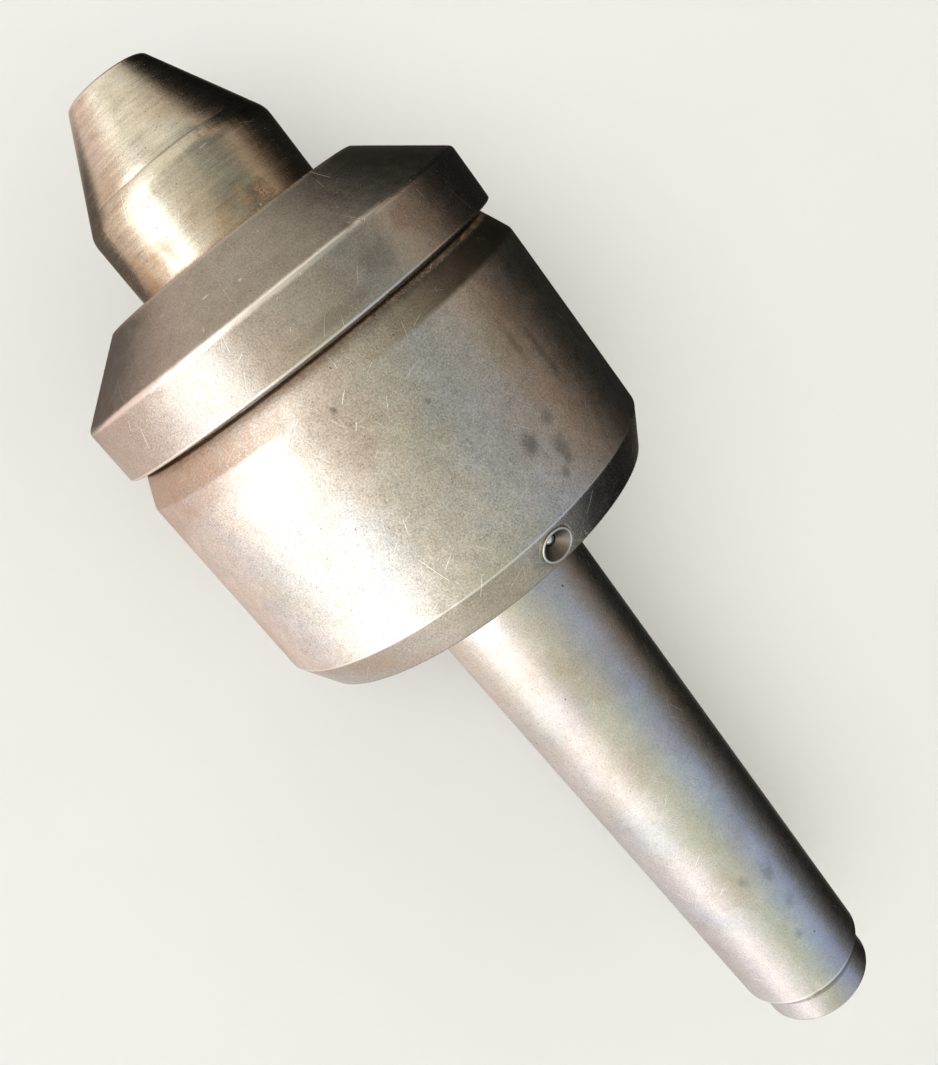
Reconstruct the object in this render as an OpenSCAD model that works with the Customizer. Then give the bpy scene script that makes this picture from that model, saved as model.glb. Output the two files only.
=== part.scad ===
// Live center, Morse taper 4: a nose spindle that turns on three bearings inside a housing
// that is one piece with its tapered shank. The spindle axis is X, the nose points to -X, and
// the origin is the centre of the taper's gauge plane.

/* [Nose] */
// Diameter of the nose cylinder, which is also the shaft that the seal runs on
nose_d = 35; // [34:0.5:35.2]
// Diameter of the flat at the tip
tip_d = 15; // [8:0.5:18]
// Included angle of the point
point_angle = 60; // [55:1:75]
// Length of the nose cylinder in front of the cap
nose_len = 12.5; // [8:0.5:20]

/* [Cap] */
// Diameter of the flat ring on the cap's front
cap_face_d = 49; // [46:0.5:54]
// Length of the cap's bevel along the axis
cap_bevel_len = 9.7; // [9:0.1:14]
// Length of the cap's rim behind the bevel
cap_rim_len = 10; // [9.4:0.1:11]
// Open gap between the cap's rim and the housing
cap_gap = 0.8; // [0.4:0.1:1]

/* [Housing] */
// Outer diameter of the housing and of the cap
body_d = 75; // [74:0.5:84]
// Length of the housing from the cap's gap to its rear face
body_len = 46.5; // [46:0.5:50]
// Length of the shallow front chamfer
front_chamfer_len = 5; // [3:0.5:8]
// Diameter at the front edge of the front chamfer
front_face_d = 70.2; // [68:0.2:73]
// Length of the rear chamfer along the axis
rear_chamfer_len = 6.5; // [6.5:0.1:8]
// Diameter of the rear face
rear_face_d = 68; // [67:0.5:70]

/* [Shank] */
// Diameter at the gauge plane
gauge_d = 31.267; // [31.2:0.001:31.3]
// Distance from the gauge plane to the housing's rear face
gauge_gap = 6.5; // [6:0.1:8]
// Length from the gauge plane to the small end
taper_len = 102.5; // [90:0.5:102.5]
// Diameter of the stub behind the small end
stub_d = 22.5; // [20:0.5:24]
// Length of the stub with its undercut
stub_len = 7.5; // [5:0.5:12]

/* [Oiler] */
// Outer diameter of the pressed-in ball oiler
oiler_d = 6; // [5.6:0.1:6]
// How far its rim stands out of the chamfer
oiler_rim_h = 0.3; // [0.2:0.1:0.5]
// How far a filling nozzle pushes its ball in
oiler_travel = 0.8; // [0.4:0.1:1]

/* [Hidden] */

$fn = 96;
eps = 1;                          // how far a cutting tool runs past the face that it cuts
taper_ratio = 1 / 19.254;         // Morse taper 4, on the diameter
arc_steps = 6;                    // straight stretches in each rounded corner

// Stations along X, from the gauge plane forwards
rear_x = -gauge_gap;
housing_x = rear_x - body_len;
cap_rear_x = housing_x - cap_gap;
rim_x = cap_rear_x - cap_rim_len;
face_x = rim_x - cap_bevel_len;
corner_x = face_x - nose_len;
cone_len = (nose_d - tip_d) / 2 / tan(point_angle / 2);
tip_x = corner_x - cone_len;
stub_x = taper_len + stub_len;

// Front deep-groove ball bearing, 30 x 55 x 13
fb_bore = 30;
fb_od = 55;
fb_w = 13;
fb_x = cap_rear_x - 8.2;           // as far into the cap as its rim allows
fb_inner_od = 38.2;
fb_outer_id = 47;
fb_pitch = 42.5;
fb_count = 11;
ball_r = 3.572;
ball_play = 0.03;                 // between a ball and its raceway
fb_mid_x = fb_x + fb_w / 2;

// Thrust ball bearing, 25 x 47 x 15
tb_bore = 25;
tb_od = 47;
tb_w = 15;
tb_x = fb_x + fb_w + 3;
tb_pitch = 36;
tb_count = 13;
tb_washer_w = 4.75;
tb_mid_x = tb_x + tb_w / 2;
washer_clear = 0.5;               // around the washer that turns

// Drawn-cup needle bearing, 20 x 26 x 16
nb_bore = 20;
nb_od = 26;
nb_w = 16;
nb_x = tb_x + tb_w + 4;
needle_r = 1;
needle_len = 12;
needle_count = 20;
needle_play = 0.02;
nb_pitch_r = nb_bore / 2 + needle_r + needle_play;
cup_wall_r = nb_pitch_r + needle_r + needle_play;
nb_mid_x = nb_x + nb_w / 2;

// Rotary shaft seal, 35 x 47 x 7
seal_od = 47;
seal_w = 7;
seal_x = fb_x - seal_w;
garter_r = 0.6;
garter_ring_r = nose_d / 2 + 1.9;
garter_x = seal_x + 4.4;
seal_wall = 0.8;                  // sheet thickness of the seal's steel case
seal_web_r = seal_od / 2 - 3.6;   // where the case ends and the rubber web begins

// The spigot that the cap screws onto, and its ring groove
spigot_d = 64;
spigot_x = fb_x + 0.3;
o_ring_r = 1;
o_ring_x = cap_rear_x - 2.2;
groove_w = 2.6;

// Snap ring, 30 x 1.5
snap_w = 1.5;
snap_groove_d = 28.6;
snap_x = fb_x + fb_w;

// Bores inside the housing behind the bearings
chamber_r = 18;
chamber_x = nb_x - 1;
tail_clear = 0.5;
tail_x = nb_x + nb_w + 1;
bore_end_x = tail_x + 1.5;

// Oiler: its axis is the normal of the rear chamfer, on the housing's top
chamfer_tilt = atan((body_d - rear_face_d) / 2 / rear_chamfer_len);
oiler_pos = [rear_x - rear_chamfer_len / 2, 0, (body_d + rear_face_d) / 4];
oiler_len = 6.5;
oiler_ball_r = 1.25;
dish_r = oiler_d / 2 - 0.35;
dish_z = -1.5;
throat_r = 1;
throat_z = -1.8;
chamber_bore_r = 1.45;
outlet_r = 0.6;
oiler_floor_z = 0.6 - oiler_len;
oiler_ball_z = throat_z - sqrt(pow(oiler_ball_r, 2) - pow(throat_r, 2)) - 0.02;
oil_hole_r = 1;

steel = [0.62, 0.60, 0.56];
dark_steel = [0.45, 0.42, 0.40];
bearing_steel = [0.72, 0.73, 0.75];
cage_steel = [0.66, 0.60, 0.44];
rubber = [0.12, 0.12, 0.13];

// ---- Outline helpers ----

function unit(v) = v / norm(v);

// Points of the arc of radius r that replaces corner b between a and c
function corner(a, b, c, r) =
    let (u = unit(a - b), v = unit(c - b), half = acos(u * v) / 2)
    let (mid = b + unit(u + v) * r / sin(half))
    let (p = b + u * r / tan(half) - mid, q = b + v * r / tan(half) - mid)
    let (a0 = atan2(p[1], p[0]), turn = atan2(q[1], q[0]) - a0)
    let (sweep = turn > 180 ? turn - 360 : turn < -180 ? turn + 360 : turn)
    [for (k = [0 : arc_steps]) mid + r * [cos(a0 + sweep * k / arc_steps), sin(a0 + sweep * k / arc_steps)]];

// An outline of [radius, station, rounding] points with its corners rounded
function rounded(path) =
    let (n = len(path), pts = [for (p = path) [p[0], p[1]]])
    [for (i = [0 : n - 1])
        let (r = path[i][2])
        each (r > 0 ? corner(pts[(i + n - 1) % n], pts[i], pts[(i + 1) % n], r) : [pts[i]])];

// Turns an outline of [radius, station, rounding] points about X
module turned(path) {
    rotate([0, 90, 0])
        rotate_extrude()
            polygon(rounded(path));
}

// A plain cylinder along X between two stations
module rod(r, x0, x1) {
    translate([x0, 0, 0])
        rotate([0, 90, 0])
            cylinder(r = r, h = x1 - x0);
}

// A round bar of radius r bent into a ring of radius ring_r, at station x
module torus(ring_r, r, x) {
    translate([x, 0, 0])
        rotate([0, 90, 0])
            rotate_extrude()
                translate([ring_r, 0])
                    circle(r = r, $fn = 48);
}

// Repeats its child count times about X
module around_x(count) {
    for (k = [0 : count - 1])
        rotate([k * 360 / count, 0, 0])
            children();
}

// The machining centre in an end face: a pilot hole and a 60 degree seat, dir 1 opens to -X
module centre_hole(x, dir, pilot_r, seat_r, depth) {
    seat_len = (seat_r - pilot_r) / tan(30);
    translate([x, 0, 0])
        rotate([0, dir * 90, 0])
            union() {
                translate([0, 0, -eps])
                    cylinder(r = pilot_r, h = depth + eps);
                cylinder(r1 = seat_r, r2 = pilot_r, h = seat_len);
            }
}

// Moves to the oiler's place, with +Z out of the chamfer
module at_oiler() {
    translate(oiler_pos)
        rotate([0, chamfer_tilt, 0])
            children();
}

// ---- Fixed pieces ----

module housing() {
    body_r = body_d / 2;
    spigot_r = spigot_d / 2;
    root_r = (gauge_d + gauge_gap * taper_ratio) / 2;
    small_r = (gauge_d - taper_len * taper_ratio) / 2;
    undercut_w = 1.2;
    undercut_r = stub_d / 2 - 0.8;
    color(steel)
        difference() {
            turned([
                [0, spigot_x, 0],
                [spigot_r, spigot_x, 0.5],
                [spigot_r, housing_x, 0],
                [front_face_d / 2, housing_x, 0.3],
                [body_r, housing_x + front_chamfer_len, 0.8],
                [body_r, rear_x - rear_chamfer_len, 0.3],
                [rear_face_d / 2, rear_x, 0.4],
                [root_r, rear_x, 0],
                [small_r, taper_len, 0.6],
                [undercut_r, taper_len, 0],
                [undercut_r, taper_len + undercut_w, 0],
                [stub_d / 2, taper_len + undercut_w, 0.2],
                [stub_d / 2, stub_x, 0.8],
                [0, stub_x, 0]
            ]);
            rod(fb_od / 2, spigot_x - eps, fb_x + fb_w);
            rod(tb_od / 2 + washer_clear, fb_x + fb_w - eps, tb_x + tb_w - tb_washer_w);
            rod(tb_od / 2, fb_x + fb_w, tb_x + tb_w);
            rod(chamber_r, tb_x + tb_w - eps, chamber_x);
            rod(nb_od / 2, chamber_x - eps, nb_x + nb_w);
            rod(nb_bore / 2 + tail_clear, nb_x + nb_w - eps, bore_end_x);
            o_ring_groove();
            centre_hole(stub_x, -1, 2, 4.25, 9);
            at_oiler()
                translate([0, 0, -oiler_len])
                    cylinder(d = oiler_d, h = oiler_len + eps);
            oil_passage();
        }
}

// Groove around the spigot for the cap's ring seal
module o_ring_groove() {
    groove_r = spigot_d / 2 - 2 * o_ring_r;
    difference() {
        rod(spigot_d / 2 + eps, o_ring_x - groove_w / 2, o_ring_x + groove_w / 2);
        rod(groove_r, o_ring_x - groove_w, o_ring_x + groove_w);
    }
}

// Drilled way from the bottom of the oiler's seat to the grease chamber in front of the needles
module oil_passage() {
    start = oiler_pos - (oiler_len - 0.5) * [sin(chamfer_tilt), 0, cos(chamfer_tilt)];
    stop = [chamber_x - 1.5, 0, chamber_r - 1];
    way = stop - start;
    translate(start)
        rotate([0, atan2(way[0], way[2]), 0])
            cylinder(r = oil_hole_r, h = norm(way), $fn = 32);
}

module front_cap() {
    body_r = body_d / 2;
    color(dark_steel)
        difference() {
            turned([
                [nose_d / 2 + 0.2, face_x, 0.3],
                [cap_face_d / 2, face_x, 0.5],
                [body_r, rim_x, 1.2],
                [body_r, cap_rear_x, 0.3],
                [spigot_d / 2, cap_rear_x, 0.3],
                [spigot_d / 2, fb_x, 0],
                [nose_d / 2 + 0.2, fb_x, 0]
            ]);
            rod(seal_od / 2, seal_x, fb_x + eps);
        }
}

module cap_o_ring() {
    color(rubber)
        torus(spigot_d / 2 - o_ring_r, o_ring_r, o_ring_x);
}

module seal_case() {
    outer_r = seal_od / 2;
    inner_r = outer_r - seal_wall;
    end_x = seal_x + seal_w - 0.2;
    color(bearing_steel)
        turned([
            [seal_web_r, seal_x, 0],
            [outer_r, seal_x, 0.4],
            [outer_r, end_x, 0],
            [inner_r, end_x, 0],
            [inner_r, seal_x + seal_wall, 0],
            [seal_web_r, seal_x + seal_wall, 0]
        ]);
}

module seal_lip() {
    outer_r = seal_od / 2 - seal_wall;
    back_x = seal_x + 2;
    lip_r = nose_d / 2 + 0.04;
    lip_h = 1;
    bead_r = garter_r + 0.3;
    color(rubber)
        difference() {
            turned([
                [seal_web_r, seal_x, 0],
                [seal_web_r, seal_x + seal_wall, 0],
                [outer_r, seal_x + seal_wall, 0],
                [outer_r, back_x, 0],
                [garter_ring_r + bead_r, back_x, 0],
                [garter_ring_r + bead_r, garter_x + bead_r, 0],
                [lip_r + lip_h, garter_x + bead_r + 0.3, 0],
                [lip_r, garter_x, 0],
                [lip_r + lip_h, back_x + 0.2, 0],
                [lip_r + 0.1, seal_x, 0]
            ]);
            torus(garter_ring_r, garter_r, garter_x);
        }
}

module seal_garter_spring() {
    color(bearing_steel)
        torus(garter_ring_r, garter_r, garter_x);
}

module front_outer_ring() {
    color(bearing_steel)
        difference() {
            turned([
                [fb_outer_id / 2, fb_x, 0.3],
                [fb_od / 2, fb_x, 0.6],
                [fb_od / 2, fb_x + fb_w, 0.6],
                [fb_outer_id / 2, fb_x + fb_w, 0.3]
            ]);
            torus(fb_pitch / 2, ball_r + ball_play, fb_mid_x);
        }
}

module thrust_housing_washer() {
    bore_r = tb_bore / 2 + 1;
    color(bearing_steel)
        difference() {
            turned([
                [bore_r, tb_x + tb_w - tb_washer_w, 0.3],
                [tb_od / 2, tb_x + tb_w - tb_washer_w, 0.3],
                [tb_od / 2, tb_x + tb_w, 0.6],
                [bore_r, tb_x + tb_w, 0.6]
            ]);
            torus(tb_pitch / 2, ball_r + ball_play, tb_mid_x);
        }
}

module needle_cup() {
    lip_r = nb_bore / 2 + 0.4;
    lip_w = 0.8;
    color(bearing_steel)
        turned([
            [nb_od / 2, nb_x, 0.4],
            [nb_od / 2, nb_x + nb_w, 0.4],
            [lip_r, nb_x + nb_w, 0],
            [lip_r, nb_x + nb_w - lip_w, 0],
            [cup_wall_r, nb_x + nb_w - lip_w, 0],
            [cup_wall_r, nb_x + lip_w, 0],
            [lip_r, nb_x + lip_w, 0],
            [lip_r, nb_x, 0]
        ]);
}

module oiler_cup() {
    color(bearing_steel)
        at_oiler()
            rotate_extrude()
                polygon(rounded([
                    [throat_r, throat_z, 0],
                    [throat_r, dish_z, 0],
                    [dish_r, oiler_rim_h, 0],
                    [oiler_d / 2, oiler_rim_h, 0.15],
                    [oiler_d / 2, -oiler_len, 0.3],
                    [outlet_r, -oiler_len, 0],
                    [outlet_r, oiler_floor_z, 0],
                    [chamber_bore_r, oiler_floor_z, 0],
                    [chamber_bore_r, throat_z, 0]
                ]));
}

// The ball's spring: a wire of six sides swept along a helix between the cup's floor and the ball
module oiler_spring() {
    wire_r = 0.15;
    coil_r = 0.95;
    turns = 3.5;
    steps = 63;
    sides = 6;
    z0 = oiler_floor_z + wire_r + 0.02;
    z1 = oiler_ball_z - oiler_ball_r + 0.1;
    ring_points = [
        for (i = [0 : steps])
            let (a = 360 * turns * i / steps, z = z0 + (z1 - z0) * i / steps)
            for (s = [0 : sides - 1])
                let (b = 360 * s / sides, r = coil_r + wire_r * cos(b))
                [r * cos(a), r * sin(a), z + wire_r * sin(b)]
    ];
    side_faces = [
        for (i = [0 : steps - 1])
            for (s = [0 : sides - 1])
                let (p = i * sides + s, q = i * sides + (s + 1) % sides)
                [p, p + sides, q + sides, q]
    ];
    end_faces = [
        [for (s = [0 : sides - 1]) s],
        [for (s = [0 : sides - 1]) steps * sides + sides - 1 - s]
    ];
    color(bearing_steel)
        at_oiler()
            polyhedron(points = ring_points, faces = concat(side_faces, end_faces), convexity = 8);
}

// ---- Pieces that turn with the spindle ----

module nose_spindle() {
    shoulder_x = tb_x;
    step_x = chamber_x - 2;
    line_x = corner_x - 0.135 * cone_len;
    line_r = nose_d / 2 - (corner_x - line_x) * tan(point_angle / 2);
    line_w = 0.25;
    line_depth = 0.12;
    color(steel)
        difference() {
            turned([
                [0, tip_x, 0],
                [tip_d / 2, tip_x, 0.5],
                [line_r - line_w * tan(point_angle / 2), line_x - line_w, 0],
                [line_r - line_depth, line_x, 0],
                [line_r + line_w * tan(point_angle / 2), line_x + line_w, 0],
                [nose_d / 2, corner_x, 3],
                [nose_d / 2, fb_x, 0.3],
                [fb_bore / 2, fb_x, 0],
                [fb_bore / 2, snap_x, 0],
                [snap_groove_d / 2, snap_x, 0],
                [snap_groove_d / 2, snap_x + snap_w, 0],
                [fb_bore / 2, snap_x + snap_w, 0],
                [fb_bore / 2, shoulder_x, 0],
                [tb_bore / 2, shoulder_x, 0],
                [tb_bore / 2, step_x, 0.5],
                [nb_bore / 2, step_x, 0],
                [nb_bore / 2, tail_x, 1],
                [0, tail_x, 0]
            ]);
            centre_hole(tip_x, 1, 1.6, 3.2, 6);
            centre_hole(tail_x, -1, 2, 4.25, 9);
        }
}

module front_inner_ring() {
    color(bearing_steel)
        difference() {
            turned([
                [fb_bore / 2, fb_x, 0.6],
                [fb_inner_od / 2, fb_x, 0.3],
                [fb_inner_od / 2, fb_x + fb_w, 0.3],
                [fb_bore / 2, fb_x + fb_w, 0.6]
            ]);
            torus(fb_pitch / 2, ball_r + ball_play, fb_mid_x);
        }
}

// Open snap ring with two eyed ends, in the groove behind the front bearing
module retaining_ring() {
    eye_angle = 16;
    eye_r = 1.9;
    eye_hole_r = 0.9;
    eye_at = snap_groove_d / 2 + 2.2;
    band_h = 2.5;
    opening = 9;
    reach = 30;
    color(bearing_steel)
        translate([snap_x, 0, 0])
            rotate([0, 90, 0])
                linear_extrude(height = snap_w)
                    difference() {
                        union() {
                            circle(r = snap_groove_d / 2 + band_h);
                            for (a = [-eye_angle, eye_angle])
                                rotate(a)
                                    translate([eye_at, 0])
                                        circle(r = eye_r, $fn = 32);
                        }
                        circle(r = snap_groove_d / 2);
                        polygon([
                            [0, 0],
                            reach * [cos(opening), sin(opening)],
                            reach * [cos(opening), -sin(opening)]
                        ]);
                        for (a = [-eye_angle, eye_angle])
                            rotate(a)
                                translate([eye_at, 0])
                                    circle(r = eye_hole_r, $fn = 32);
                    }
}

module thrust_shaft_washer() {
    color(bearing_steel)
        difference() {
            turned([
                [tb_bore / 2, tb_x, 0.6],
                [tb_od / 2, tb_x, 0.6],
                [tb_od / 2, tb_x + tb_washer_w, 0.3],
                [tb_bore / 2, tb_x + tb_washer_w, 0.3]
            ]);
            torus(tb_pitch / 2, ball_r + ball_play, tb_mid_x);
        }
}

// ---- Rolling elements and their cages ----

pocket_play = 0.06;               // between a rolling element and its pocket
front_cage_w = 4.4;               // how far the front cage reaches from the balls' centres
rivet_r = 0.6;
rivet_head = 0.3;                 // how far a rivet stands out of the cage

module front_balls() {
    color(bearing_steel)
        around_x(fb_count)
            translate([fb_mid_x, 0, fb_pitch / 2])
                sphere(r = ball_r);
}

// One pressed half of the front cage, side -1 in front of the balls' centres and 1 behind them
module cage_half(side) {
    band_h = 1;
    x0 = side < 0 ? fb_mid_x - front_cage_w : fb_mid_x;
    x1 = x0 + front_cage_w;
    difference() {
        rod(fb_pitch / 2 + band_h, x0, x1);
        rod(fb_pitch / 2 - band_h, x0 - eps, x1 + eps);
        around_x(fb_count)
            translate([fb_mid_x, 0, fb_pitch / 2 - 2 * band_h])
                cylinder(r = ball_r + pocket_play, h = 4 * band_h);
        cage_rivets();
    }
}

// Rivet shanks midway between the balls
module cage_rivets() {
    half_len = front_cage_w + rivet_head;
    rotate([180 / fb_count, 0, 0])
        around_x(fb_count)
            translate([0, 0, fb_pitch / 2])
                rod(rivet_r, fb_mid_x - half_len, fb_mid_x + half_len);
}

module front_cage_front_half() {
    color(cage_steel)
        cage_half(-1);
}

module front_cage_rear_half() {
    color(cage_steel)
        cage_half(1);
}

module front_cage_rivets() {
    color(bearing_steel)
        cage_rivets();
}

module thrust_balls() {
    color(bearing_steel)
        around_x(tb_count)
            translate([tb_mid_x, 0, tb_pitch / 2])
                sphere(r = ball_r);
}

module thrust_cage() {
    half_w = 1.5;
    half_h = 4.8;
    color(cage_steel)
        difference() {
            rod(tb_pitch / 2 + half_h, tb_mid_x - half_w, tb_mid_x + half_w);
            rod(tb_pitch / 2 - half_h, tb_mid_x - half_w - eps, tb_mid_x + half_w + eps);
            around_x(tb_count)
                translate([tb_mid_x, 0, tb_pitch / 2])
                    sphere(r = ball_r + pocket_play);
        }
}

module needle_rollers() {
    color(bearing_steel)
        around_x(needle_count)
            translate([0, 0, nb_pitch_r])
                rod(needle_r, nb_mid_x - needle_len / 2, nb_mid_x + needle_len / 2);
}

module needle_cage() {
    half_w = nb_w / 2 - 0.9;
    half_h = 0.7;
    pocket_half = needle_len / 2 + 0.1;
    color(cage_steel)
        difference() {
            rod(nb_pitch_r + half_h, nb_mid_x - half_w, nb_mid_x + half_w);
            rod(nb_pitch_r - half_h, nb_mid_x - half_w - eps, nb_mid_x + half_w + eps);
            around_x(needle_count)
                translate([0, 0, nb_pitch_r])
                    rod(needle_r + pocket_play, nb_mid_x - pocket_half, nb_mid_x + pocket_half);
        }
}

module oiler_ball() {
    color(bearing_steel)
        at_oiler()
            translate([0, 0, oiler_ball_z])
                sphere(r = oiler_ball_r);
}

housing();
front_cap();
cap_o_ring();
seal_case();
seal_lip();
seal_garter_spring();
front_outer_ring();
thrust_housing_washer();
needle_cup();
oiler_cup();
oiler_spring();
nose_spindle();
front_inner_ring();
retaining_ring();
thrust_shaft_washer();
front_balls();
front_cage_front_half();
front_cage_rear_half();
front_cage_rivets();
thrust_balls();
thrust_cage();
needle_rollers();
needle_cage();
oiler_ball();
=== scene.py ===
import math

import bmesh
import bpy
import numpy as np
from mathutils import Matrix, Vector


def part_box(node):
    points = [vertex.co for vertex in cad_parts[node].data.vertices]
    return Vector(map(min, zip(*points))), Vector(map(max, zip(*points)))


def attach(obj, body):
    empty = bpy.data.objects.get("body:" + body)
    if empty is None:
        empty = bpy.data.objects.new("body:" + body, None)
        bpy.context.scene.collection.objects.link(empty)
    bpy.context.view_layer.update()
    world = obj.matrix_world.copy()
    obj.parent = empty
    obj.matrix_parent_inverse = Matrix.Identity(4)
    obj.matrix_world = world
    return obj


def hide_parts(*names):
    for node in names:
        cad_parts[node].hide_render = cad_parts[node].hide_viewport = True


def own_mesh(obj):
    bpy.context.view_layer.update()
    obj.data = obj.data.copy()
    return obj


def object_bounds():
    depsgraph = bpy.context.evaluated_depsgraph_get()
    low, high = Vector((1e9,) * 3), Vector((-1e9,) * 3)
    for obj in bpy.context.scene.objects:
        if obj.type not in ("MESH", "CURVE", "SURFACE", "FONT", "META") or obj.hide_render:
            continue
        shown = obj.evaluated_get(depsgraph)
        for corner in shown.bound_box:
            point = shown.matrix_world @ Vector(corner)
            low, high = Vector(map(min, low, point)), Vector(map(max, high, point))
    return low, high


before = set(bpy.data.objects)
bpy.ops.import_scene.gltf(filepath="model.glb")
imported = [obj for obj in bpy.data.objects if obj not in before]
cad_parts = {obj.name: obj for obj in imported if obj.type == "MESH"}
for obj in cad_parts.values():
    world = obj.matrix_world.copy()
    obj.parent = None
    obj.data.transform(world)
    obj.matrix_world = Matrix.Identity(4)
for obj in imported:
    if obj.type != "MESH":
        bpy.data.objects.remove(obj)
cad_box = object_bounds()

MM = 0.001
COLUMNS = 360                     # facets around the spindle axis
HOUSING_STEP = 3.6                # longest facets along the outlines, in mm
FINE_STEP = 1.6
CUP_STEP = 0.5
housing_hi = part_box("housing")[1]
cap_lo, cap_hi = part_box("front_cap")
nose_lo, nose_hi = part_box("nose_spindle")


# ---- Outlines and turned surfaces, in millimetres until they become meshes ----

def rounded(path, closed):
    """An outline of (station, radius, rounding) points with each corner replaced by an arc.

    The arc's centre lies on the corner's bisector at rounding / sin(half angle). A support point
    a third of the arc's reach before and after each arc keeps the flats' shading flat. Small
    roundings get fewer points.
    """
    small, few, many, support = 0.3, 4, 7, 1.33
    made = []
    count = len(path)
    for i, (x, r, rounding) in enumerate(path):
        corner = np.array([x, r], float)
        if rounding <= 0 or (not closed and i in (0, count - 1)):
            made.append(corner)
            continue
        before = np.array(path[i - 1][:2], float) - corner
        after = np.array(path[(i + 1) % count][:2], float) - corner
        room = 0.45 * min(np.linalg.norm(before), np.linalg.norm(after))
        u, v = before / np.linalg.norm(before), after / np.linalg.norm(after)
        half = math.acos(np.clip(u @ v, -1, 1)) / 2
        reach = min(rounding / math.tan(half), room)
        radius = reach * math.tan(half)
        centre = corner + (u + v) / np.linalg.norm(u + v) * radius / math.sin(half)
        start, stop = corner + u * reach - centre, corner + v * reach - centre
        a0 = math.atan2(start[1], start[0])
        sweep = (math.atan2(stop[1], stop[0]) - a0 + math.pi) % (2 * math.pi) - math.pi
        made.append(corner + u * reach * support)
        for t in np.linspace(0, 1, many if rounding > small else few):
            a = a0 + sweep * t
            made.append(centre + radius * np.array([math.cos(a), math.sin(a)]))
        made.append(corner + v * reach * support)
    return np.array(made)


def refined(outline, step, closed):
    """The outline with its long straight stretches cut into pieces no longer than step."""
    ends = np.roll(outline, -1, axis=0) if closed else outline[1:]
    parts = []
    for a, b in zip(outline if closed else outline[:-1], ends):
        n = max(1, math.ceil(np.linalg.norm(b - a) / step))
        parts.append(a + (b - a) * np.arange(n)[:, None] / n)
    if not closed:
        parts.append(outline[-1:])
    return np.concatenate(parts)


def grid_faces(rows, columns, wrap_rows):
    """Quads of a grid whose columns close on themselves, and whose rows do if wrap_rows."""
    i = np.arange(rows if wrap_rows else rows - 1)[:, None]
    j = np.arange(columns)[None, :]
    i2, j2 = (i + 1) % rows, (j + 1) % columns
    quads = [i * columns + j, i2 * columns + j, i2 * columns + j2, i * columns + j2]
    return np.stack([np.broadcast_to(q, (len(i), columns)) for q in quads], -1).reshape(-1, 4)


def turned(outline, closed, columns=COLUMNS, wear=None):
    """Vertices and quads of an outline turned about X: (x, -r sin a, r cos a) for a right round.

    Where an open outline starts or ends on the axis, the ring there becomes one pole. wear(x, r, a)
    says how far each point lies under the ideal radius.
    """
    angle = np.arange(columns) * 2 * math.pi / columns
    x = np.repeat(outline[:, :1], columns, axis=1)
    r = np.repeat(outline[:, 1:], columns, axis=1)
    a = np.broadcast_to(angle, r.shape)
    if wear is not None:
        r = r - wear(x, r, a)
    points = np.stack([x, -r * np.sin(a), r * np.cos(a)], -1).reshape(-1, 3)
    quads = grid_faces(len(outline), columns, closed)
    for k in (0, len(outline) - 1):
        if not closed and outline[k, 1] < 1e-9:
            first = k * columns
            quads = np.where((quads >= first) & (quads < first + columns), first, quads)
    return points, quads


def placed(name, data):
    """A new object at the origin, in the scene."""
    piece = bpy.data.objects.new(name, data)
    bpy.context.scene.collection.objects.link(piece)
    return piece


def solid(name, points, quads, material, body, node, sharp=28):
    """A closed mesh on its body from points in millimetres and quads, with its faces outwards.

    A quad with a repeated corner is a triangle at a pole, and points that no quad uses are dropped.
    """
    used, quads = np.unique(quads, return_inverse=True)
    faces = [tuple(dict.fromkeys(q)) for q in quads.reshape(-1, 4).tolist()]
    mesh = bpy.data.meshes.new(name)
    mesh.from_pydata((points[used] * MM).tolist(), [], faces)
    shell = bmesh.new()
    shell.from_mesh(mesh)
    bmesh.ops.recalc_face_normals(shell, faces=shell.faces)
    shell.to_mesh(mesh)
    shell.free()
    mesh.shade_smooth()
    mesh.set_sharp_from_angle(angle=math.radians(sharp))
    mesh.materials.append(material)
    piece = placed(name, mesh)
    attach(piece, body)
    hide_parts(node)
    return piece


def ripple(seed, lowest, highest):
    """A smooth, seeded function of the angle between -1 and 1, with waves of many counts round."""
    waves = 24
    random = np.random.RandomState(seed)
    counts = np.unique(np.geomspace(lowest, highest, waves).astype(int))
    phases = random.uniform(0, 2 * math.pi, len(counts))
    sizes = random.uniform(0.4, 1, len(counts))
    sizes /= np.sqrt((sizes ** 2).sum()) * 2

    def wave(a):
        return np.clip(sum(s * np.sin(n * a + p) for n, p, s in zip(counts, phases, sizes)), -1, 1)
    return wave


def edge_wear(edges, dents=()):
    """Wear for turned(): rubbed edges, and dents knocked into the surface.

    Each edge (station, width, depth, seed) is worn by depth * exp(-(distance / width) squared),
    unevenly along its length. Each dent (station, turn, size, depth) is a round Gaussian hollow.
    Nothing wears inside the bores' smallest radii.
    """
    smallest_r = 5
    waves = [(x0, width, depth, ripple(seed, 3, 120)) for x0, width, depth, seed in edges]

    def wear(x, r, a):
        worn = np.zeros_like(r)
        for x0, width, depth, wave in waves:
            worn += depth * (0.5 + 0.5 * wave(a)) * np.exp(-((x - x0) / width) ** 2)
        for x0, turn, size, depth in dents:
            round_way = (a - math.radians(turn) + math.pi) % (2 * math.pi) - math.pi
            worn += depth * np.exp(-((x - x0) ** 2 + (round_way * r) ** 2) / size ** 2)
        return np.where(r > smallest_r, worn, 0)
    return wear


# ---- Node building ----

OBJECT_PLACE = 3                  # the Texture Coordinate node's Object output
SPLIT_COLOUR = "ShaderNodeSeparateColor"


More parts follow.
